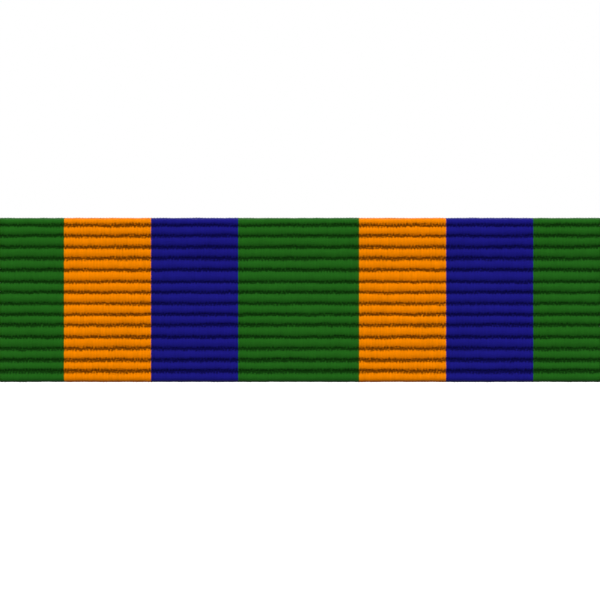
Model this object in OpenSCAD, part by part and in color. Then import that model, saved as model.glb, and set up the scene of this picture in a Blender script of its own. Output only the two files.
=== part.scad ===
// Service ribbon bar, the everyday form of a service medal. A ribbed, striped ribbon is
// wrapped round a brass carrier. The carrier slides on a stamped mounting bar, and the bar
// is held to cloth by two pointed posts and two spring clutches.
//
// Frame, in millimetres: the origin is the centre of the bar's back face, which lies on the
// cloth. +X is to the viewer's right, +Z is up, and +Y points from the bar to the wearer.

/* [Ribbon] */
// Width of the ribbon, along X
ribbon_w = 34.925; // [32:0.005:38]
// Height of the ribbon's front face, along Z
ribbon_h = 9.525; // [9.4:0.005:9.8]
// Thickness of the ribbon at the tops of its ribs
ribbon_t = 0.3; // [0.25:0.01:0.32]
// Width of the first edge stripe; the last one takes what is left
edge_stripe_w = 3.8; // [3:0.01:4.5]
// Width of each orange and each blue stripe
band_w = 5.04; // [4.5:0.01:5.3]
// Width of the middle stripe
centre_stripe_w = 7; // [6:0.01:8]
// Height at which the ribbon's two tails end, behind the bar's rails
tail_end_z = 2.75; // [2.6:0.05:3.4]

/* [Carrier] */
// Length of the carrier, along X
carrier_w = 34.5; // [30:0.1:34.6]
// Thickness of the carrier's sheet
carrier_t = 0.3; // [0.25:0.01:0.32]
// Thickness of the adhesive film between ribbon and carrier
film_t = 0.05; // [0.03:0.01:0.06]
// Height at which the carrier's two lips end
lip_end_z = 2.55; // [2.5:0.05:3]

/* [Mounting bar] */
// Length of the bar, along X
bar_w = 34.2; // [30:0.1:34.4]
// Thickness of the bar's sheet
bar_t = 0.5; // [0.45:0.01:0.52]
// Length of the sprung tongue in the middle of the bar
tongue_l = 6.6; // [5:0.1:7.5]
// Width of the tongue, along Z
tongue_w = 1.8; // [1.4:0.1:2]

/* [Posts] */
// Distance between the two posts
post_spacing = 22.225; // [20:0.005:24]
// Diameter of a post
post_d = 1.16; // [1:0.01:1.2]
// Diameter of a post's shoulder, which fills the bar's hole
shoulder_d = 1.5; // [1.5:0.01:1.6]
// Length of a post behind the bar, with its point
post_l = 8.2; // [7.8:0.1:9]
// Depth of a post's grip grooves
groove_depth = 0.17; // [0.16:0.01:0.2]
// Distance from one grip groove to the next
groove_pitch = 1.6; // [1.5:0.05:1.7]

/* [Clutches] */
// Gap between the bar and a clutch, which the cloth fills
cloth_gap = 2.4; // [2.1:0.05:2.5]
// Diameter of a clutch's disc
disc_d = 9; // [8.8:0.1:9.2]
// Thickness of the disc's sheet
disc_t = 0.35; // [0.3:0.01:0.4]
// Thickness of the spring washer and its wings
spring_t = 0.3; // [0.25:0.01:0.3]
// Width of a wing, along Z
wing_w = 6.4; // [5.5:0.1:6.8]

/* [Hidden] */
$fn = 64;
LEFT = -1;
RIGHT = 1;
over = 0.5;                 // how far a cutter runs past the face it cuts

// Colours of the real materials
green = [0.137, 0.384, 0.106];
orange = [0.949, 0.525, 0.035];
blue = [0.106, 0.098, 0.475];
brass = [0.80, 0.64, 0.33];
gilt = [0.85, 0.66, 0.25];
nickel = [0.72, 0.72, 0.70];
braze = [0.78, 0.74, 0.62];
clear_film = [0.90, 0.89, 0.84];

// Layers from the cloth forwards, each a Y position; forwards is -Y
tail_back_y = -0.1;                              // the tails stay this far off the cloth
lip_back_y = tail_back_y - ribbon_t - film_t;
lip_front_y = lip_back_y - carrier_t;
rail_play = 0.1;                                 // gap between a rail and the carrier
rail_back_y = lip_front_y - rail_play;
rail_front_y = rail_back_y - bar_t;
plate_back_y = rail_front_y - rail_play;
plate_front_y = plate_back_y - carrier_t;
ribbon_front_y = plate_front_y - film_t - ribbon_t;

// Corners of the wrapped layers
carrier_in_r = 0.05;
carrier_r = 0.15;
film_r = carrier_r + film_t;
ribbon_r = 0.3;                                  // the ribbon is pressed to a tight outer corner

// Cross-section of the mounting bar
carrier_half_h = ribbon_h / 2 - ribbon_t - film_t;
rail_half_h = carrier_half_h - carrier_t - rail_play;
bend_in_r = 0.15;
bend_mid_r = bend_in_r + bar_t / 2;
leg_play = 0.15;                                 // gap between a leg and the carrier's lip
leg_out_z = lip_end_z - leg_play;
land_half_h = leg_out_z - bend_mid_r - bar_t / 2;
bar_corner_r = 0.8;
tongue_slot = 0.4;
tongue_play = 0.05;
tongue_tip_y = plate_back_y + tongue_play;       // the tip stops just short of the carrier
tongue_angle = asin((-tongue_tip_y - bar_t) / tongue_l);
root_overlap = 0.1;                              // of the tongue's root with the leaning part

// Posts
post_r = post_d / 2;
shoulder_r = shoulder_d / 2;
groove_r = post_r - groove_depth;
groove_l = 0.6;
groove_count = 3;
point_l = 1.2;
point_r = 0.12;
head_r = 1.45;
head_t = 0.35;
hole_play = 0.02;
braze_w = 0.25;
braze_lip = 0.05;                                // the fillet ends just below the head's face

// Clutches
disc_r = disc_d / 2;
spring_play = 0.05;
rim_l = 2 * spring_play + spring_t;              // inside height of the rolled rim
rim_t = 0.3;                                     // rolling thins the rim a little
disc_l = disc_t + rim_l + rim_t;                 // whole height of the disc
rim_w = 1;
rim_in_r = disc_r - rim_w;
rim_corner_r = 0.3;
disc_hole_r = post_r + 0.1;
floor_join_r = 2.5;                              // where the disc's floor meets its middle
nipple_l = 0.8;
dimple_r = 1.3;
washer_r = disc_r - disc_t - 2 * spring_play;
washer_y = disc_t + spring_play;
root_x = 2.3;                                    // distance of a wing's root from the post
window_half_w = root_x + spring_t / 2 + spring_play;
window_half_h = 2.1;
wing_root_half = 1.9;
wing_rise = 30;                                  // slope of a wing's first run
root_y = washer_y + spring_t / 2;
jaw_r = post_r + 0.04;                           // a jaw stays just clear of the post
jaw_tip_x = 0.35;
jaw_half_h = post_r - 0.02;
jaw_y = root_y + (root_x - (jaw_r + jaw_tip_x) / 2) * tan(wing_rise);
groove_1_y = cloth_gap + jaw_y - groove_pitch;   // so the jaws sit on the second groove
leaf_x = post_r + 0.57;
neck_z = post_r + 0.06;
run_1 = 3.7;
run_2 = 0.9;
run_3 = 2.8;
wing_bend_r = 0.6;
bend_up = 35;
bend_out = 40;
wing_corner_r = 1.4;
wing_reach = 4.7;                                // the plan outline runs just past the tip

// ---- Shapes that repeat ----

// A 2-D rectangle from one corner to the other, with round corners
module rounded_rect(low, high, r) {
    translate(low + [r, 0]) square([high.x - low.x - 2 * r, high.y - low.y]);
    translate(low + [0, r]) square([high.x - low.x, high.y - low.y - 2 * r]);
    for (x = [low.x + r, high.x - r], y = [low.y + r, high.y - r])
        translate([x, y]) circle(r);
}

// Extrudes a section drawn in (Y, Z) along X, centred on the YZ plane
module along_x(length) {
    translate([-length / 2, 0, 0])
        rotate([90, 0, 90]) linear_extrude(length) children();
}

// A section drawn in (Y, Z) that wraps round the rails: a C that opens to the back
module wrap_section(front_y, back_y, half_h, t, out_r, in_r, end_z) {
    difference() {
        rounded_rect([front_y, -half_h], [back_y, half_h], out_r);
        rounded_rect([front_y + t, t - half_h], [back_y - t, half_h - t], in_r);
        translate([back_y - t - over / 2, -end_z]) square([t + over, 2 * end_z]);
    }
}

// The part of a ring between two angles that are less than 180 degrees apart
module ring_sector(in_r, t, from, to) {
    far = 2 * (in_r + t);
    intersection() {
        difference() {
            circle(in_r + t);
            circle(in_r);
        }
        polygon([[0, 0], far * [cos(from), sin(from)], far * [cos(to), sin(to)]]);
    }
}

// Sheet seen edge on: a straight run along +X, and what follows at its end
module run_then(length, t) {
    translate([0, -t / 2]) square([length, t]);
    translate([length, 0]) children();
}

// A bend that turns left for a positive angle, and what follows at its end
module bend_then(angle, in_r, t) {
    side = sign(angle);
    centre = [0, side * (in_r + t / 2)];
    translate(centre)
        ring_sector(in_r, t, side > 0 ? -90 : 90 + angle, side > 0 ? angle - 90 : 90);
    translate(centre) rotate(angle) translate(-centre) children();
}

// Puts a child made at the origin on the left or the right post
module at_post(side) {
    translate([side * post_spacing / 2, 0, 0]) children();
}

// Puts a clutch piece, made with its disc's front face at Y = 0, where the clutch sits
module at_clutch(side) {
    at_post(side) translate([0, cloth_gap, 0]) children();
}

// Turns a section drawn in (radius, Y) round the post's axis
module turned() {
    rotate([-90, 0, 0]) rotate_extrude() children();
}

// ---- Ribbon unit ----

stripe_colours = [green, orange, blue, green, orange, blue, green];
inner_stripes = [edge_stripe_w, band_w, band_w, centre_stripe_w, band_w, band_w];
function sum_to(list, n) = n == 0 ? 0 : list[n - 1] + sum_to(list, n - 1);
stripe_edges = [for (i = [0 : len(inner_stripes)]) sum_to(inner_stripes, i), ribbon_w];

module ribbon() {
    for (i = [0 : len(stripe_colours) - 1]) {
        stripe_w = stripe_edges[i + 1] - stripe_edges[i];
        color(stripe_colours[i])
            translate([stripe_edges[i] + stripe_w / 2 - ribbon_w / 2, 0, 0])
                along_x(stripe_w)
                    wrap_section(ribbon_front_y, tail_back_y, ribbon_h / 2, ribbon_t,
                                 ribbon_r, film_r, tail_end_z);
    }
}

module adhesive_film() {
    color(clear_film)
        along_x(carrier_w)
            wrap_section(plate_front_y - film_t, lip_back_y + film_t, carrier_half_h + film_t,
                         film_t, film_r, carrier_r, tail_end_z);
}

module ribbon_carrier() {
    color(brass)
        along_x(carrier_w)
            wrap_section(plate_front_y, lip_back_y, carrier_half_h, carrier_t,
                         carrier_r, carrier_in_r, lip_end_z);
}

// ---- Mounting bar and posts ----

// Half of the bar's section, from the middle of the land out to one rail
module half_bar_section() {
    leg = -rail_back_y - 2 * bend_mid_r;
    translate([-bar_t / 2, 0]) rotate(90)
        run_then(land_half_h, bar_t)
        bend_then(90, bend_in_r, bar_t)
        run_then(leg, bar_t)
        bend_then(-90, bend_in_r, bar_t)
        run_then(rail_half_h - land_half_h - 2 * bend_mid_r, bar_t);
}

// The land's U-shaped slot, which frees the tongue on three sides
module tongue_cut() {
    slot_half_h = tongue_w / 2 + tongue_slot;
    translate([-tongue_l / 2, -bar_t - over, -slot_half_h])
        cube([tongue_l + tongue_slot, bar_t + 2 * over, 2 * slot_half_h]);
}

// The tongue leans forwards from its root, so that its tip drags on the carrier
module tongue() {
    translate([-tongue_l / 2, 0, 0]) rotate([0, 0, -tongue_angle])
        translate([0, -bar_t, -tongue_w / 2])
            cube([tongue_l, bar_t, tongue_w]);
}

// A sliver of sheet behind the root, so that the leaning tongue joins the land all over
module tongue_root() {
    translate([-tongue_l / 2 - over, -bar_t, -tongue_w / 2])
        cube([over + root_overlap, bar_t, tongue_w]);
}

module mounting_bar() {
    color(brass) {
        difference() {
            intersection() {
                along_x(bar_w) {
                    half_bar_section();
                    mirror([0, 1]) half_bar_section();
                }
                rotate([90, 0, 0]) translate([0, 0, -over]) linear_extrude(over - ribbon_front_y)
                    rounded_rect([-bar_w / 2, -rail_half_h], [bar_w / 2, rail_half_h], bar_corner_r);
            }
            tongue_cut();
            for (side = [LEFT, RIGHT])
                at_post(side) rotate([90, 0, 0])
                    cylinder(h = 4 * bar_t, r = shoulder_r + hole_play, center = true);
        }
        tongue();
        tongue_root();
    }
}

// A nail: a flat head in front of the land, a shoulder through it, a grooved shank, a point
module post() {
    color(nickel) turned() difference() {
        polygon([
            [0, -bar_t - head_t], [head_r, -bar_t - head_t], [head_r, -bar_t],
            [shoulder_r, -bar_t], [shoulder_r, 0],
            [post_r, 0], [post_r, post_l - point_l], [point_r, post_l], [0, post_l]
        ]);
        for (i = [0 : groove_count - 1])
            translate([groove_r, groove_1_y + i * groove_pitch - groove_l / 2])
                square([post_r, groove_l]);
    }
}

// The fillet of braze round a post's head
module braze_ring() {
    color(braze) turned()
        polygon([[head_r, -bar_t], [head_r + braze_w, -bar_t], [head_r, -bar_t - head_t + braze_lip]]);
}

// ---- Clutches, each with its disc's front face at Y = 0 ----

// A round cup: a dimpled floor that guides the post in, and a rim rolled over the washer
module clutch_disc() {
    color(gilt) turned() {
        difference() {
            rounded_rect([0, 0], [disc_r, disc_l], rim_corner_r);
            square([floor_join_r, disc_l]);
            translate([0, disc_t]) square([disc_r - disc_t, rim_l]);
            translate([0, disc_t]) square([rim_in_r, disc_l]);
        }
        polygon([
            [dimple_r, 0], [floor_join_r, 0], [floor_join_r, disc_t], [dimple_r + disc_t, disc_t],
            [disc_hole_r + disc_t, nipple_l], [disc_hole_r, nipple_l], [disc_hole_r, nipple_l - disc_t]
        ]);
    }
}

// The spring's base: a ring with a window, in which the two wings have their roots
module clutch_washer() {
    color(brass)
        translate([0, washer_y, 0]) rotate([-90, 0, 0])
            linear_extrude(spring_t) difference() {
                circle(washer_r);
                square([2 * window_half_w, 2 * window_half_h], center = true);
            }
}

// A wing seen edge on: from its root under one side, past the post, up and out over the other
module wing_section() {
    translate([-root_x, root_y]) {
        circle(spring_t / 2);
        rotate(wing_rise)
            run_then(run_1, spring_t)
            bend_then(bend_up, wing_bend_r, spring_t)
            run_then(run_2, spring_t)
            bend_then(-bend_out, wing_bend_r, spring_t)
            run_then(run_3, spring_t);
    }
}

// A wing seen along the post: a root with a jaw, a neck beside the post, and the finger's leaf
module wing_outline() {
    root_back = root_x + spring_t;
    difference() {
        union() {
            translate([-root_back, -wing_root_half])
                square([root_back - jaw_r, 2 * wing_root_half]);
            translate([-root_back, -jaw_half_h])
                square([root_back - jaw_tip_x, 2 * jaw_half_h]);
        }
        circle(jaw_r);
    }
    translate([-root_x, -wing_root_half])
        square([root_x + leaf_x + wing_corner_r, wing_root_half - neck_z]);
    rounded_rect([leaf_x, -wing_w / 2], [wing_reach, wing_w / 2], wing_corner_r);
}

module clutch_wing() {
    color(gilt) intersection() {
        translate([0, 0, -wing_w / 2 - over]) linear_extrude(wing_w + 2 * over) wing_section();
        rotate([-90, 0, 0]) linear_extrude(post_l) wing_outline();
    }
}

// The wing whose leaf is over +X; the other is the same piece turned half round the post
module wing_towards(side) {
    rotate([0, side > 0 ? 0 : 180, 0]) clutch_wing();
}

ribbon();
adhesive_film();
ribbon_carrier();
mounting_bar();
at_post(LEFT) post();  // left_post
at_post(RIGHT) post();  // right_post
at_post(LEFT) braze_ring();  // left_braze_ring
at_post(RIGHT) braze_ring();  // right_braze_ring
at_clutch(LEFT) clutch_disc();  // left_clutch_disc
at_clutch(RIGHT) clutch_disc();  // right_clutch_disc
at_clutch(LEFT) clutch_washer();  // left_clutch_washer
at_clutch(RIGHT) clutch_washer();  // right_clutch_washer
at_clutch(LEFT) wing_towards(LEFT);  // left_clutch_outer_wing
at_clutch(LEFT) wing_towards(RIGHT);  // left_clutch_inner_wing
at_clutch(RIGHT) wing_towards(RIGHT);  // right_clutch_outer_wing
at_clutch(RIGHT) wing_towards(LEFT);  // right_clutch_inner_wing
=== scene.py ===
import math

import bpy
import numpy as np
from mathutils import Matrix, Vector


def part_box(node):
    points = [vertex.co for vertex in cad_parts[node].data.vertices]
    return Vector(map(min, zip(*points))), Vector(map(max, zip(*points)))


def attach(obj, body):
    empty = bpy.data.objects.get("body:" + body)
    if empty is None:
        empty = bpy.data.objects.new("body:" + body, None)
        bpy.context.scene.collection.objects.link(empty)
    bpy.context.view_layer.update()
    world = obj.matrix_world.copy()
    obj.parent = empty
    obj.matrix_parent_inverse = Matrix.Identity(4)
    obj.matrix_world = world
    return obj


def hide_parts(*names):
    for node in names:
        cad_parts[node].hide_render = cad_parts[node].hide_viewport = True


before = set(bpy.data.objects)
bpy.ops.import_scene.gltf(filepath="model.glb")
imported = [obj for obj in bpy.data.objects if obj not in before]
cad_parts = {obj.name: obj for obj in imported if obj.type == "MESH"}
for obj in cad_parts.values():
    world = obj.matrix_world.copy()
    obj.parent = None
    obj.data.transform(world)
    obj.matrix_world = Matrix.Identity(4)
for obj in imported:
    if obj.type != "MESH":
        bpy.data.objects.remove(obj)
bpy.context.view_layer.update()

# The looks of a service ribbon bar: a ribbed ribbon with seven dyed stripes, wrapped round
# a brass carrier, with a stamped mounting bar, two posts and two squeeze clutches behind it.
# Units are metres. The viewer looks along +Y, and the posts point to +Y.

MM = 0.001
ribbon_low, ribbon_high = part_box("ribbon")
RIBBON_W = ribbon_high.x - ribbon_low.x
FRONT_Y = ribbon_low.y
BACK_Y = ribbon_high.y
HALF_H = ribbon_high.z


# ---- Camera, floor and lights ----

LENS = 200.0
SENSOR = 36.0
SELVEDGE_CROP = 0.10 * MM       # the view ends just inside each rounded selvedge
FLOOR_Z = -20 * MM
FLOOR_SIZE = 2.3
BACKDROP_R = 1.2
SKY = (                         # brightness by height, from straight down at 0 to overhead at 1
    (0.0, 0.26), (0.36, 0.18), (0.49, 0.36), (0.56, 0.56), (0.72, 0.38), (1.0, 0.95),
)


def make_camera():
    """Looks straight at the ribbon's front, which fills the view from side to side."""
    view_width = RIBBON_W - 2 * SELVEDGE_CROP
    camera = bpy.data.objects.new("camera", bpy.data.cameras.new("camera"))
    bpy.context.scene.collection.objects.link(camera)
    camera.data.lens = LENS
    camera.data.sensor_width = SENSOR
    camera.data.clip_start = 10 * MM
    camera.location = (0, FRONT_Y - view_width * LENS / SENSOR, 0)
    camera.rotation_euler = (math.radians(90), 0, 0)
    bpy.context.scene.camera = camera


def aim(lamp, azimuth, elevation, distance):
    """Puts a lamp at an angle round the object, azimuth 0 in front and 180 behind, facing it."""
    turn, rise = math.radians(azimuth), math.radians(elevation)
    away = Vector((math.sin(turn) * math.cos(rise), -math.cos(turn) * math.cos(rise), math.sin(rise)))
    lamp.location = away * distance
    lamp.rotation_euler = away.to_track_quat("Z", "Y").to_euler()
    bpy.context.scene.collection.objects.link(lamp)


def sun(name, strength, softness, azimuth, elevation):
    """Even light from one side of the studio, softness degrees across."""
    light = bpy.data.lights.new(name, "SUN")
    light.energy = strength
    light.angle = math.radians(softness)
    aim(bpy.data.objects.new(name, light), azimuth, elevation, 0.5)


def soft_box(name, power, size, azimuth, elevation, distance):
    """A square lamp near the object, power in watts."""
    light = bpy.data.lights.new(name, "AREA")
    light.size = size
    light.energy = power
    aim(bpy.data.objects.new(name, light), azimuth, elevation, distance)


def make_lights():
    """A high key light in front, a low fill, and lights behind for the fittings."""
    sun("key_light", 1.75, 22, -12, 28)
    sun("fill_light", 0.65, 40, 25, 2)
    sun("back_light", 0.75, 80, 205, 38)
    soft_box("back_soft_box", 0.50, 0.50, 150, 24, 0.42)
    soft_box("low_soft_box", 0.34, 0.26, 238, 4, 0.40)
    soft_box("side_soft_box", 0.30, 0.24, 80, 30, 0.45)


def make_world():
    """A plain sky, lighter overhead and at eye level, for soft light and for reflections."""
    world = bpy.data.worlds.new("soft_sky")
    bpy.context.scene.world = world
    world.use_nodes = True
    nodes, links = world.node_tree.nodes, world.node_tree.links
    background = nodes["Background"]
    coordinate = nodes.new("ShaderNodeTexCoord")
    split = nodes.new("ShaderNodeSeparateXYZ")
    ramp = nodes.new("ShaderNodeValToRGB")
    to_share = nodes.new("ShaderNodeMapRange")
    to_share.inputs["From Min"].default_value = -1.0
    links.new(coordinate.outputs["Generated"], split.inputs[0])
    links.new(split.outputs["Z"], to_share.inputs["Value"])
    links.new(to_share.outputs["Result"], ramp.inputs["Fac"])
    links.new(ramp.outputs["Color"], background.inputs["Color"])
    stops = ramp.color_ramp.elements
    for i, (place, tone) in enumerate(SKY):
        stop = stops[i] if i == 0 or i == len(SKY) - 1 else stops.new(place)
        stop.color = (tone, tone, tone, 1)


def make_floor():
    """A pale floor below the held-up object, which glows a little so that it stays even."""
    bpy.ops.mesh.primitive_plane_add(size=FLOOR_SIZE, location=(0, 0, FLOOR_Z))
    floor = bpy.context.object
    floor.name = "floor"
    material = bpy.data.materials.new("floor_paper")
    material.use_nodes = True
    shader = material.node_tree.nodes["Principled BSDF"]
    shader.inputs["Base Color"].default_value = (0.86, 0.86, 0.86, 1)
    shader.inputs["Roughness"].default_value = 0.9
    shader.inputs["Emission Color"].default_value = (1, 1, 1, 1)
    shader.inputs["Emission Strength"].default_value = 0.35
    floor.data.materials.append(material)
    floor.visible_diffuse = False       # no bounce light, so the ribs keep their shadows
    floor.visible_glossy = False


def make_backdrop():
    """A white dome that only the camera sees."""
    bpy.ops.mesh.primitive_uv_sphere_add(radius=BACKDROP_R, segments=48, ring_count=24)
    backdrop = bpy.context.object
    backdrop.name = "backdrop"
    material = bpy.data.materials.new("backdrop_white")
    material.use_nodes = True
    nodes, links = material.node_tree.nodes, material.node_tree.links
    glow = nodes.new("ShaderNodeEmission")
    links.new(glow.outputs[0], nodes["Material Output"].inputs["Surface"])
    backdrop.data.materials.append(material)
    backdrop.visible_diffuse = False
    backdrop.visible_glossy = False
    backdrop.visible_transmission = False
    backdrop.visible_shadow = False


# ---- Ribbon ----

STRIPES = (                     # colour and width in mm; the last one takes what is left
    ("green", 3.80), ("orange", 5.04), ("blue", 5.04), ("green", 7.00),
    ("orange", 5.04), ("blue", 5.04), ("green", None),
)
THREADS = {                     # sRGB of each dyed thread, and the share of its colour kept in a groove, as painted shade
    "green": ((31, 91, 23), 0.30),
    "orange": ((228, 125, 0), 0.18),
    "blue": ((25, 23, 117), 0.32),
}
SEED = 7
THICKNESS = 0.30 * MM
CORNER_R = 0.30 * MM            # of the outside, where the ribbon turns over the carrier
INNER_R = 0.20 * MM
TAIL_END_Z = 2.75 * MM
YARN_PITCH = 0.175 * MM
RIB_PITCH = 0.6483 * MM
LOWEST_GROOVE_Z = -4.10 * MM    # of the front; the rib below it turns the bottom edge
FOLD_STRETCH = 0.22 * MM        # that rib is pulled wider than the others
GROOVE_DEPTH = 0.13 * MM
GROOVE_FLOOR = 0.06             # half its width, as a share of a rib
GROOVE_SHIFT, MOST_SHIFT = 0.026, 0.05          # of a whole groove from its even place, in mm
WANDER = 0.012 * MM             # of a groove along its length
FUZZ = 0.008 * MM
TOOTH = 0.045                   # most that a yarn reaches into a groove, in mm
PROUD = 0.012 * MM              # of the yarns on the crest of a rib
BULGE = (0.004, 0.012)          # of each yarn beside the next, in mm
BULGE_LEFT = 0.35               # share of that bulge that is left down in a groove
SWELL = 0.006 * MM
CREST_PLACES = (0.44, 0.56)     # shares of the way up a rib
CREST_WANDER = 0.03
CREST_LIMITS = (0.44, 0.58)
LIGHT_BELOW = (1.9, 0.90)       # powers that shape the shade under the crest, and over it
LIGHT_ABOVE = (2.8, 0.85)
SHADE_LIMITS = (0.55, 1.7)      # power on that shade, which makes grooves look narrow or wide
SHADE_BY_RIB, SHADE_ALONG = 0.30, 0.28
END_ROOM = 0.05 * MM            # between the last row of a rib and the cut end
FRAY = 0.03                     # of a cut end, either way, in mm
CUT_BULGE = 0.04 * MM
# painted shade at a cut end: the share of the thread colour kept there
CUT_SHADE = 0.6
NUB = 0.045 * MM                # how far a groove draws the selvedge in
FRONT_STEPS = (0.0, 0.06, 0.13, 0.22, 0.36, 0.56, 0.75, 0.87, 0.94)
BACK_STEPS = (0.0, 0.08, 0.20, 0.40, 0.62, 0.82, 0.93)
SELVEDGE_R = 0.10 * MM
SELVEDGE_TURNS = (30, 60, 85)   # degrees round the selvedge, a column of points at each
CUT_INSETS = (0.12, 0.35, 0.65, 0.90)   # shares of the thickness, down the cut end

FLAT = HALF_H - CORNER_R                        # from the front's centre to a corner
TURN = CORNER_R * math.pi / 2
RETURN = BACK_Y - FRONT_Y - 2 * CORNER_R        # over the top edge
TAIL = HALF_H - CORNER_R - TAIL_END_Z
HALF_LENGTH = FLAT + 2 * TURN + RETURN + TAIL


def wrap(s, inset, radius):
    """Points (y, z) and outward normals of the ribbon's section, at signed lengths s along its
    outside from the front's centre, upwards. The section is inset and has its own corners."""
    a = np.abs(s)
    front, back, top = FRONT_Y + inset, BACK_Y - inset, HALF_H - inset
    starts = np.cumsum([0, FLAT, TURN, RETURN, TURN])
    lengths = (FLAT, TURN, RETURN, TURN, TAIL)
    shares = [(a - start) / length for start, length in zip(starts, lengths)]
    t1 = np.clip(shares[1], 0, 1) * math.pi / 2
    t2 = np.clip(shares[3], 0, 1) * math.pi / 2
    span_y = back - front - 2 * radius
    y = front + radius * (1 - np.cos(t1)) + span_y * np.clip(shares[2], 0, 1) + radius * np.sin(t2)
    z = (top - radius) * np.clip(shares[0], 0, 1) + radius * np.sin(t1)
    z = z - radius * (1 - np.cos(t2)) - (top - radius - TAIL_END_Z) * np.clip(shares[4], 0, None)
    turned = t1 + t2
    side = np.where(s < 0, -1.0, 1.0)
    return y, side * z, -np.cos(turned), side * np.sin(turned)


def yarn_columns():
    """X of each column of points, two to a yarn, and the stripe that each gap lies in."""
    xs, stripes = [-RIBBON_W / 2], []
    for name, width in STRIPES:
        start = xs[-1]
        end = RIBBON_W / 2 if width is None else start + width * MM
        yarns = round((end - start) / YARN_PITCH)
        steps = np.linspace(start, end, 2 * yarns + 1)[1:]
        xs.extend(steps)
        stripes.extend([name] * len(steps))
    return np.array(xs), stripes


def slow_noise(rng, x, lengths, size):
    """A smooth random wander along x: a few sines of random phase and length."""
    total = np.zeros_like(x)
    for length in lengths:
        total += np.sin(2 * math.pi * (x / (length * rng.uniform(0.8, 1.25)) + rng.random()))
    return size * total / math.sqrt(len(lengths))


def alternate(x, k):
    """1 on the yarns that are high on rib k, and -1 on the columns between them."""
    return np.where((np.arange(len(x)) + k) % 2 == 0, 1.0, -1.0)


def groove_lines(rng, x):
    """Lengths s of every groove across the ribbon, as one row of points per groove."""
    below = math.ceil((HALF_LENGTH + LOWEST_GROOVE_Z) / RIB_PITCH) + 1
    count = math.ceil(2 * HALF_LENGTH / RIB_PITCH) + 3
    lines = []
    for k in range(count):
        shift = np.clip(rng.normal(0, GROOVE_SHIFT), -MOST_SHIFT, MOST_SHIFT) * MM
        s = LOWEST_GROOVE_Z + (k - below) * RIB_PITCH + shift
        if k < below:
            s -= FOLD_STRETCH
        wander = slow_noise(rng, x, (9 * MM, 4 * MM, 1.7 * MM), WANDER)
        fuzz = slow_noise(rng, x, (0.9 * MM, 0.5 * MM, 0.31 * MM), FUZZ)
        teeth = -alternate(x, k) * rng.uniform(0.0, TOOTH, len(x)) * MM
        lines.append(s + wander + fuzz + teeth)
    return np.array(lines)


def rib_profile(u, peak):
    """Shares at u, from the groove below at 0 to the groove above at 1, of a rib's height and of
    the light that is painted into the thread's colour as shade: a flat groove floor, a crest at peak, and
    painted shade close to each groove."""
    below = np.clip((peak - u) / (peak - GROOVE_FLOOR), 0, 1)
    above = np.clip((u - peak) / (1 - GROOVE_FLOOR - peak), 0, 1)
    under = (1 - below ** LIGHT_BELOW[0]) ** LIGHT_BELOW[1]
    over = (1 - above ** LIGHT_ABOVE[0]) ** LIGHT_ABOVE[1]
    return 1 - below ** 2 - above ** 2, under * over


def ribbon_rows(rng, x):
    """Rows of points up the whole ribbon: s, inset, relief, tone and crest, each per column."""
    lines = groove_lines(rng, x)
    rows = []
    for k in range(len(lines) - 1):
        middle = abs(lines[k].mean() + RIB_PITCH / 2)
        steps = FRONT_STEPS if middle < FLAT + TURN else BACK_STEPS
        crest = alternate(x, k)
        swell = slow_noise(rng, x, (6 * MM, 2.3 * MM, 0.8 * MM), SWELL)
        yarn = crest * rng.uniform(*BULGE, len(x)) * MM
        peak = rng.uniform(*CREST_PLACES) + slow_noise(rng, x, (8 * MM, 3 * MM), CREST_WANDER)
        peak = np.clip(peak, *CREST_LIMITS)
        tone = rng.normal(0, 1, len(x))
        shade = 1 + rng.normal(0, SHADE_BY_RIB) + slow_noise(rng, x, (14 * MM, 5 * MM), SHADE_ALONG)
        shade = np.clip(shade, *SHADE_LIMITS)
        for u in steps:
            # the second share is painted shade: how much of the thread's colour is kept, less near each
            # groove
            height, painted_light = rib_profile(u, peak)
            s = lines[k] + u * (lines[k + 1] - lines[k])
            bulge = (yarn + swell) * (BULGE_LEFT + (1 - BULGE_LEFT) * height)
            inset = GROOVE_DEPTH * (1 - height) - bulge - PROUD
            rows.append((s, inset, painted_light ** shade, tone, crest))
    return [row for row in rows if abs(row[0].mean()) < HALF_LENGTH - END_ROOM]


def cut_rows(rng, x, edge, side):
    """Rows round a cut end: the yarn ends stop a little unevenly."""
    fray = rng.uniform(-FRAY, FRAY, len(x)) * MM
    tone = rng.normal(0, 1, len(x))
    rows = []
    for share in CUT_INSETS:
        bulge = CUT_BULGE * math.sin(math.pi * share)
        s = side * (HALF_LENGTH + fray + bulge)
        inset = edge[1] * (1 - share) + THICKNESS * share
        rows.append((s, inset, np.full(len(x), CUT_SHADE), tone, edge[4]))
    return rows


def add_selvedges(x, s, inset, painted_light, tone, crest):
    """Adds columns that turn over each side, where every rib ends in a small nub. Returns the
    x of every point, and the other grids with their new columns."""
    xs = np.tile(x, (len(s), 1))
    nub = NUB * (1 - painted_light)
    for side, end in ((-1, 0), (1, -1)):
        turned, lowered = [], []
        for degrees in SELVEDGE_TURNS:
            t = math.radians(degrees)
            pull = nub[:, end] * math.sin(t)
            turned.append(side * (RIBBON_W / 2 - SELVEDGE_R * (1 - math.sin(t)) - pull))
            lowered.append(inset[:, end] + SELVEDGE_R * (1 - math.cos(t)))
        turned, lowered = np.array(turned).T, np.array(lowered).T
        ends = [grid[:, [end] * len(SELVEDGE_TURNS)] for grid in (s, painted_light, tone, crest)]
        xs[:, end] = side * (RIBBON_W / 2 - SELVEDGE_R)
        if side < 0:
            turned, lowered = turned[:, ::-1], lowered[:, ::-1]
        added = [turned, lowered, *ends]
        grids = [xs, inset, s, painted_light, tone, crest]
        xs, inset, s, painted_light, tone, crest = (
            np.hstack([new, old] if side < 0 else [old, new]) for new, old in zip(added, grids))
    return xs, s, inset, painted_light, tone, crest


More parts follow.
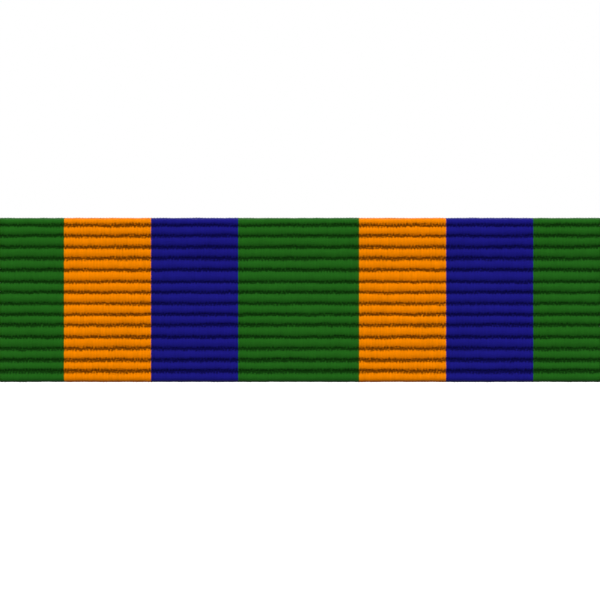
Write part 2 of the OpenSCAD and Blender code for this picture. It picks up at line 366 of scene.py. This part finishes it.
def inside_points(row_s):
    """The ribbon's inner face, as one point at each side of every row."""
    iy, iz, _, _ = wrap(row_s, THICKNESS, INNER_R)
    inner_x = RIBBON_W / 2 - SELVEDGE_R
    sides = [np.stack([np.full_like(iy, side * inner_x), iy, iz], axis=-1) for side in (-1, 1)]
    return np.stack(sides, axis=1)


def ribbon_faces(n_rows, n_cols, stripes):
    """Faces of the outside, both sides, the inside and both cut ends, and the stripe of each."""
    at = np.arange(n_rows * n_cols).reshape(n_rows, n_cols)
    inner_at = at.size + np.arange(n_rows * 2).reshape(n_rows, 2)
    faces = np.stack([at[:-1, :-1], at[:-1, 1:], at[1:, 1:], at[1:, :-1]], axis=-1)
    faces = faces.reshape(-1, 4).tolist()
    face_stripes = stripes * (n_rows - 1)
    for r in range(n_rows - 1):
        faces.append([inner_at[r, 0], at[r, 0], at[r + 1, 0], inner_at[r + 1, 0]])
        faces.append([at[r, -1], inner_at[r, 1], inner_at[r + 1, 1], at[r + 1, -1]])
        faces.append([inner_at[r, 1], inner_at[r, 0], inner_at[r + 1, 0], inner_at[r + 1, 1]])
        face_stripes.extend([stripes[0], stripes[-1], "green"])
    faces.append([*at[0, ::-1], *inner_at[0]])
    faces.append([*at[-1], *inner_at[-1, ::-1]])
    return faces, face_stripes + ["green", "green"]


def store_weave(mesh, flat, values_by_name):
    """Stores point values for the thread materials, and a UV map of the flat ribbon in mm."""
    for name, values in values_by_name.items():
        attribute = mesh.attributes.new(name, "FLOAT", "POINT")
        attribute.data.foreach_set("value", values.astype(np.float32))
    loops = np.zeros(len(mesh.loops), np.int32)
    mesh.loops.foreach_get("vertex_index", loops)
    uv = mesh.uv_layers.new(name="weave")
    uv.data.foreach_set("uv", (flat[loops] / MM).astype(np.float32).ravel())


def ribbon_mesh():
    """The whole ribbon as one closed mesh, with a material for each dyed thread."""
    rng = np.random.default_rng(SEED)
    x, stripes = yarn_columns()
    rows = ribbon_rows(rng, x)
    rows = cut_rows(rng, x, rows[0], -1)[::-1] + rows + cut_rows(rng, x, rows[-1], 1)
    grids = (np.array([row[i] for row in rows]) for i in range(5))
    xs, s, inset, painted_light, tone, crest = add_selvedges(x, *grids)
    extra = len(SELVEDGE_TURNS)
    stripes = [stripes[0]] * extra + stripes + [stripes[-1]] * extra

    y, z, ny, nz = wrap(s, 0.0, CORNER_R)
    outer = np.stack([xs, y - ny * inset, z - nz * inset], axis=-1).reshape(-1, 3)
    row_s = s.mean(axis=1)
    inner = inside_points(row_s)
    faces, face_stripes = ribbon_faces(*s.shape, stripes)
    mesh = bpy.data.meshes.new("woven_ribbon")
    mesh.from_pydata(np.concatenate([outer, inner.reshape(-1, 3)]).tolist(), [], faces)

    inner_flat = np.stack([inner[..., 0], np.stack([row_s, row_s], axis=-1)], axis=-1)
    flat = np.concatenate([np.stack([xs, s], axis=-1).reshape(-1, 2), inner_flat.reshape(-1, 2)])
    inside = np.zeros(2 * len(row_s))
    # The first values are painted shade: the share of the thread colour kept near each groove.
    store_weave(mesh, flat, {
        "painted_light": np.concatenate([painted_light.ravel(), inside + 1]),
        "tone": np.concatenate([tone.ravel(), inside]),
        "crest": np.concatenate([crest.ravel(), inside]),
    })
    names = list(THREADS)
    for name in names:
        mesh.materials.append(thread_material(name, *THREADS[name]))
    mesh.polygons.foreach_set("material_index", [names.index(n) for n in face_stripes])
    mesh.polygons.foreach_set("use_smooth", [True] * len(mesh.polygons))
    mesh.validate()
    mesh.update()
    return mesh


def make_ribbon():
    """One woven strip, folded round the carrier, in place of the CAD ribbon."""
    ribbon = bpy.data.objects.new("woven_ribbon", ribbon_mesh())
    bpy.context.scene.collection.objects.link(ribbon)
    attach(ribbon, "ribbon_unit")
    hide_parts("ribbon")


# ---- Materials ----

TARNISH = (0.58, 0.48, 0.40)    # share of each colour channel that tarnished metal keeps
STAIN = 0.26                    # the most tarnish on an open face
HOLLOW = 0.6 * MM               # reach of the tarnish in a hollow
EDGE_R = 0.045 * MM             # of the edges, in shading only
SIDES = ("left", "right")
METALS = (                      # colour, roughness, lines per mm along x, y and z, and its nodes
    ("carrier_brass", (0.83, 0.61, 0.27), 0.34, (0.6, 14, 14), ["ribbon_carrier"]),
    ("bar_brass", (0.85, 0.64, 0.30), 0.28, (0.5, 16, 16), ["mounting_bar"]),
    ("post_nickel", (0.74, 0.72, 0.68), 0.20, (3, 22, 3), [side + "_post" for side in SIDES]),
    ("braze_metal", (0.74, 0.67, 0.52), 0.45, (7, 7, 7), [side + "_braze_ring" for side in SIDES]),
    ("clutch_gilt", (0.92, 0.67, 0.27), 0.20, (10, 10, 10), [side + "_clutch_disc" for side in SIDES]),
    ("spring_bronze", (0.82, 0.53, 0.29), 0.28, (12, 0.7, 0.7),
     [side + "_clutch_washer" for side in SIDES]),
    ("wing_gilt", (0.92, 0.67, 0.27), 0.22, (0.8, 0.8, 16),
     [f"{side}_clutch_{part}_wing" for side in SIDES for part in ("outer", "inner")]),
)


def linear(channel):
    """A linear value from an 8-bit sRGB one."""
    c = channel / 255
    return c / 12.92 if c <= 0.04045 else ((c + 0.055) / 1.055) ** 2.4


def thread_material(name, srgb, groove_light):
    """Dyed rayon thread: fibres along the yarn, tone that varies by yarn, and painted shade that darkens
    the grooves and the gaps between yarns.
    """
    colour = (*(linear(c) for c in srgb), 1)
    material = bpy.data.materials.new(name + "_thread")
    material.use_nodes = True
    nodes, links = material.node_tree.nodes, material.node_tree.links
    shader = nodes["Principled BSDF"]
    shader.inputs["Roughness"].default_value = 0.6
    shader.inputs["Specular IOR Level"].default_value = 0.25
    shader.inputs["Specular Tint"].default_value = colour
    shader.inputs["Sheen Weight"].default_value = 0.12
    shader.inputs["Sheen Roughness"].default_value = 0.35
    shader.inputs["Sheen Tint"].default_value = colour

    uv = nodes.new("ShaderNodeUVMap")
    uv.uv_map = "weave"

    def weave_noise(scale, detail):
        """Noise over the flat ribbon, with scale in repeats per millimetre across and along."""
        stretch = nodes.new("ShaderNodeMapping")
        stretch.inputs["Scale"].default_value = (*scale, 1)
        noise = nodes.new("ShaderNodeTexNoise")
        noise.inputs["Scale"].default_value = 1.0
        noise.inputs["Detail"].default_value = detail
        links.new(uv.outputs[0], stretch.inputs["Vector"])
        links.new(stretch.outputs[0], noise.inputs["Vector"])
        return noise.outputs["Fac"]

    def math_node(operation, *values):
        node = nodes.new("ShaderNodeMath")
        node.operation = operation
        for socket, value in zip(node.inputs, values):
            if isinstance(value, (int, float)):
                socket.default_value = value
            else:
                links.new(value, socket)
        return node.outputs[0]

    def attribute(title):
        node = nodes.new("ShaderNodeAttribute")
        node.attribute_name = title
        return node.outputs["Fac"]

    fibres = weave_noise((42, 3), 3.0)
    fuzz = weave_noise((8, 10), 2.0)
    dye_lot = weave_noise((0.5, 0.35), 2.0)
    painted_light = attribute("painted_light")

    # Painted shade: the colour falls towards groove_light of itself in each groove, with rough, uneven
    # edges.
    hollow = math_node("SUBTRACT", 1.0, painted_light)
    rough_edge = math_node("MULTIPLY_ADD", fuzz, 2.4, -1.2)
    uneven = math_node("MULTIPLY_ADD", attribute("crest"), 0.10, rough_edge)
    speckle = math_node("MULTIPLY", uneven, hollow)
    painted_groove_shade = nodes.new("ShaderNodeMapRange")
    painted_groove_shade.interpolation_type = "SMOOTHSTEP"
    painted_groove_shade.inputs["From Min"].default_value = 0.0
    painted_groove_shade.inputs["From Max"].default_value = 0.85
    painted_groove_shade.inputs["To Min"].default_value = groove_light
    painted_groove_shade.inputs["To Max"].default_value = 1.0
    links.new(math_node("ADD", painted_light, speckle), painted_groove_shade.inputs["Value"])

    strands = math_node("MULTIPLY_ADD", fibres, 0.30, 0.85)
    # painted shade: each yarn's crest a little lighter, the gaps between yarns a little darker
    gaps = math_node("MULTIPLY_ADD", attribute("crest"), 0.02, strands)
    yarns = math_node("MULTIPLY_ADD", attribute("tone"), 0.028, gaps)
    lots = math_node("MULTIPLY_ADD", dye_lot, 0.16, 0.92)
    shade = nodes.new("ShaderNodeVectorMath")
    shade.operation = "SCALE"
    shade.inputs[0].default_value = colour[:3]
    dyed = math_node("MULTIPLY", yarns, lots)
    links.new(math_node("MULTIPLY", dyed, painted_groove_shade.outputs[0]), shade.inputs["Scale"])
    links.new(shade.outputs[0], shader.inputs["Base Color"])

    bump = nodes.new("ShaderNodeBump")
    bump.inputs["Strength"].default_value = 0.5
    bump.inputs["Distance"].default_value = 0.008 * MM
    links.new(fibres, bump.inputs["Height"])
    links.new(bump.outputs["Normal"], shader.inputs["Normal"])
    return material


def solid_noise(tree, scale, detail):
    """Noise through a solid, with its scale in repeats per millimetre along x, y and z."""
    place = tree.nodes.new("ShaderNodeTexCoord")
    stretch = tree.nodes.new("ShaderNodeMapping")
    stretch.inputs["Scale"].default_value = tuple(step / MM for step in scale)
    texture = tree.nodes.new("ShaderNodeTexNoise")
    texture.inputs["Scale"].default_value = 1.0
    texture.inputs["Detail"].default_value = detail
    tree.links.new(place.outputs["Object"], stretch.inputs["Vector"])
    tree.links.new(stretch.outputs[0], texture.inputs["Vector"])
    return texture.outputs["Fac"]


def spread(tree, value, low, high, to_low, to_high):
    """Carries a value's range from low and high to to_low and to_high, and cuts it off there."""
    node = tree.nodes.new("ShaderNodeMapRange")
    limits = {"From Min": low, "From Max": high, "To Min": to_low, "To Max": to_high}
    for socket, number in limits.items():
        node.inputs[socket].default_value = number
    tree.links.new(value, node.inputs["Value"])
    return node.outputs["Result"]


def blend_colour(tree, factor, first, second):
    """Mixes two colours, each a tuple or another node's output."""
    node = tree.nodes.new("ShaderNodeMix")
    node.data_type = "RGBA"
    for socket, value in ((0, factor), (6, first), (7, second)):
        if isinstance(value, tuple):
            node.inputs[socket].default_value = (*value, 1)
        else:
            tree.links.new(value, node.inputs[socket])
    return node.outputs[2]


def film_material():
    """Clear adhesive gone a little yellow in patches, with spread lines and small bubbles."""
    clear, aged, trapped_air = (0.85, 0.84, 0.78), (0.72, 0.66, 0.49), (0.95, 0.95, 0.92)
    material = bpy.data.materials.new("film_clear")
    material.use_nodes = True
    tree = material.node_tree
    shader = tree.nodes["Principled BSDF"]
    patches = solid_noise(tree, (0.35, 0.35, 0.35), 4.0)
    strokes = solid_noise(tree, (0.4, 9, 9), 3.0)
    bubbles = solid_noise(tree, (5, 5, 5), 1.0)
    yellowed = blend_colour(tree, spread(tree, patches, 0.35, 0.70, 0.0, 1.0), clear, aged)
    cloudy = blend_colour(tree, spread(tree, bubbles, 0.60, 0.70, 0.0, 0.6), yellowed, trapped_air)
    tree.links.new(cloudy, shader.inputs["Base Color"])
    tree.links.new(spread(tree, strokes, 0.3, 0.7, 0.18, 0.42), shader.inputs["Roughness"])
    bump = tree.nodes.new("ShaderNodeBump")
    bump.inputs["Strength"].default_value = 0.5
    bump.inputs["Distance"].default_value = 0.006 * MM
    tree.links.new(bubbles, bump.inputs["Height"])
    tree.links.new(bump.outputs["Normal"], shader.inputs["Normal"])
    return material


def metal_material(name, colour, roughness, brush):
    """Worked metal: fine lines along the brushed direction, uneven gloss, faint stains, tarnish
    that gathers in hollows, and edges shaded as if a little round."""
    material = bpy.data.materials.new(name)
    material.use_nodes = True
    tree = material.node_tree
    nodes, links = tree.nodes, tree.links
    shader = nodes["Principled BSDF"]
    shader.inputs["Metallic"].default_value = 1.0

    lines = solid_noise(tree, brush, 4.0)
    stains = solid_noise(tree, (0.5, 0.5, 0.5), 5.0)
    pits = solid_noise(tree, (9, 9, 9), 2.0)
    dull = tuple(channel * share for channel, share in zip(colour, TARNISH))
    hollows = nodes.new("ShaderNodeAmbientOcclusion")
    hollows.samples = 4
    hollows.inputs["Distance"].default_value = HOLLOW
    stained = blend_colour(tree, spread(tree, stains, 0.38, 0.80, 0.0, STAIN), colour, dull)
    shaded = blend_colour(tree, spread(tree, hollows.outputs["AO"], 0.30, 0.90, 0.60, 0.0), stained, dull)
    links.new(shaded, shader.inputs["Base Color"])

    gloss = nodes.new("ShaderNodeMath")
    gloss.operation = "ADD"
    links.new(spread(tree, lines, 0.2, 0.8, roughness * 0.7, roughness * 1.2), gloss.inputs[0])
    links.new(spread(tree, stains, 0.40, 0.80, 0.0, 0.10), gloss.inputs[1])
    links.new(gloss.outputs[0], shader.inputs["Roughness"])

    edges = nodes.new("ShaderNodeBevel")
    edges.samples = 4
    edges.inputs["Radius"].default_value = EDGE_R
    texture = nodes.new("ShaderNodeBump")
    texture.inputs["Strength"].default_value = 0.5
    texture.inputs["Distance"].default_value = 0.004 * MM
    links.new(lines, texture.inputs["Height"])
    links.new(edges.outputs[0], texture.inputs["Normal"])
    dents = nodes.new("ShaderNodeBump")
    dents.inputs["Strength"].default_value = 0.25
    dents.inputs["Distance"].default_value = 0.006 * MM
    links.new(pits, dents.inputs["Height"])
    links.new(texture.outputs[0], dents.inputs["Normal"])
    links.new(dents.outputs[0], shader.inputs["Normal"])
    return material


def dress(names, material):
    """Gives CAD nodes a material. Their meshes stay as they are."""
    for name in names:
        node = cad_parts[name]
        node.data.materials.clear()
        node.data.materials.append(material)


make_camera()
make_floor()
make_backdrop()
make_lights()
make_world()
bpy.context.scene.view_settings.view_transform = "Standard"
make_ribbon()
dress(["adhesive_film"], film_material())
for metal, colour, roughness, brush, names in METALS:
    dress(names, metal_material(metal, colour, roughness, brush))
